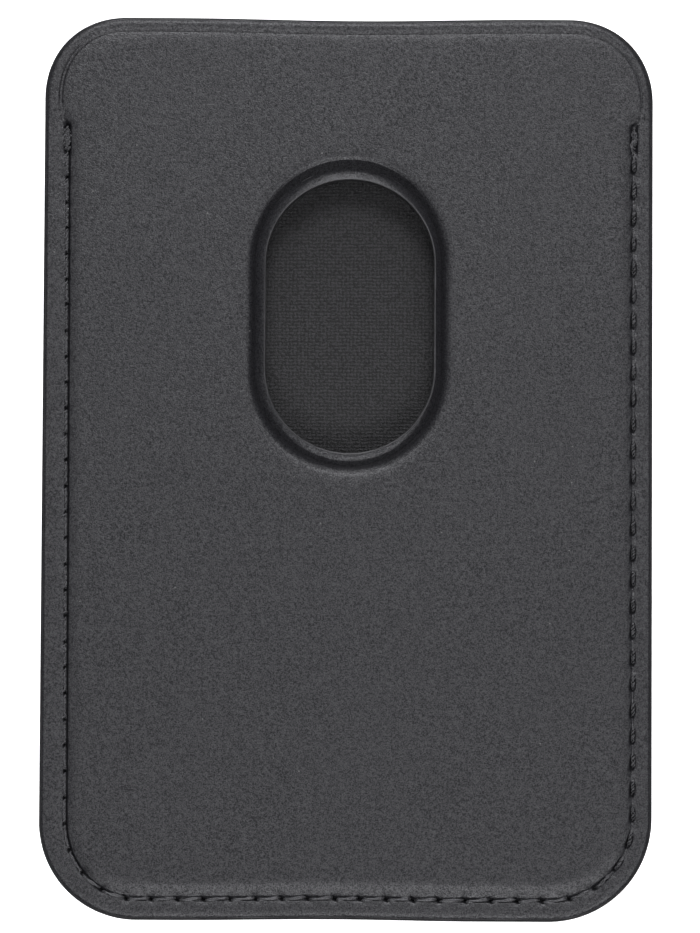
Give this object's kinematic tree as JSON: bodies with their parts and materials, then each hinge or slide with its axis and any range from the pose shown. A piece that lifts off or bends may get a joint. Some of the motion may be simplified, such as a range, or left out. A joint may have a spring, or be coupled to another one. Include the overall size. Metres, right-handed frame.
{
  "type": "card holder",
  "caption": "Slim stitched leather card pocket with an open top, an oval thumb hole and a built-in magnet ring that holds it to the back of a phone.",
  "frame": {"origin": "middle of the outline, on the plane the outward face rests on", "axes": "+X across the holder, +Y up to the open mouth, +Z out of the face that touches the phone"},
  "size_m": [0.064, 0.0948, 0.006],
  "materials": {
    "leather": "matt fine-grained charcoal leather",
    "thread": "tone-on-tone twisted polyester thread",
    "lining": "black plain-woven cloth",
    "edge_paint": "smooth satin edge paint",
    "welt": "split leather welt",
    "board": "grey-brown fibre board",
    "carrier": "matt moulded board",
    "adhesive_film": "thin clear-amber transfer film",
    "shield": "rolled steel foil",
    "yoke": "stamped steel sheet",
    "magnet": "nickel-plated magnets"
  },
  "bodies": {
    "root": {"front_leather": "leather", "bobbin_thread": "thread", "front_adhesive_film": "adhesive_film", "front_stiffener": "board", "front_lining": "lining", "edge_spacer": "welt", "back_lining": "lining", "shield_plate": "shield", "magnet_carrier": "carrier", "ring_yoke": "yoke", "ring_magnet_01": "magnet", "ring_magnet_02": "magnet", "ring_magnet_03": "magnet", "ring_magnet_04": "magnet", "ring_magnet_05": "magnet", "ring_magnet_06": "magnet", "ring_magnet_07": "magnet", "ring_magnet_08": "magnet", "ring_magnet_09": "magnet", "ring_magnet_10": "magnet", "ring_magnet_11": "magnet", "ring_magnet_12": "magnet", "ring_magnet_13": "magnet", "ring_magnet_14": "magnet", "ring_magnet_15": "magnet", "ring_magnet_16": "magnet", "alignment_yoke": "yoke", "alignment_magnet": "magnet", "back_adhesive_film": "adhesive_film", "back_leather": "leather", "needle_thread": "thread", "thumb_hole_edge_coat": "edge_paint", "seam_edge_coat": "edge_paint", "back_mouth_edge_coat": "edge_paint", "front_mouth_edge_coat": "edge_paint"}
  },
  "joints": []
}
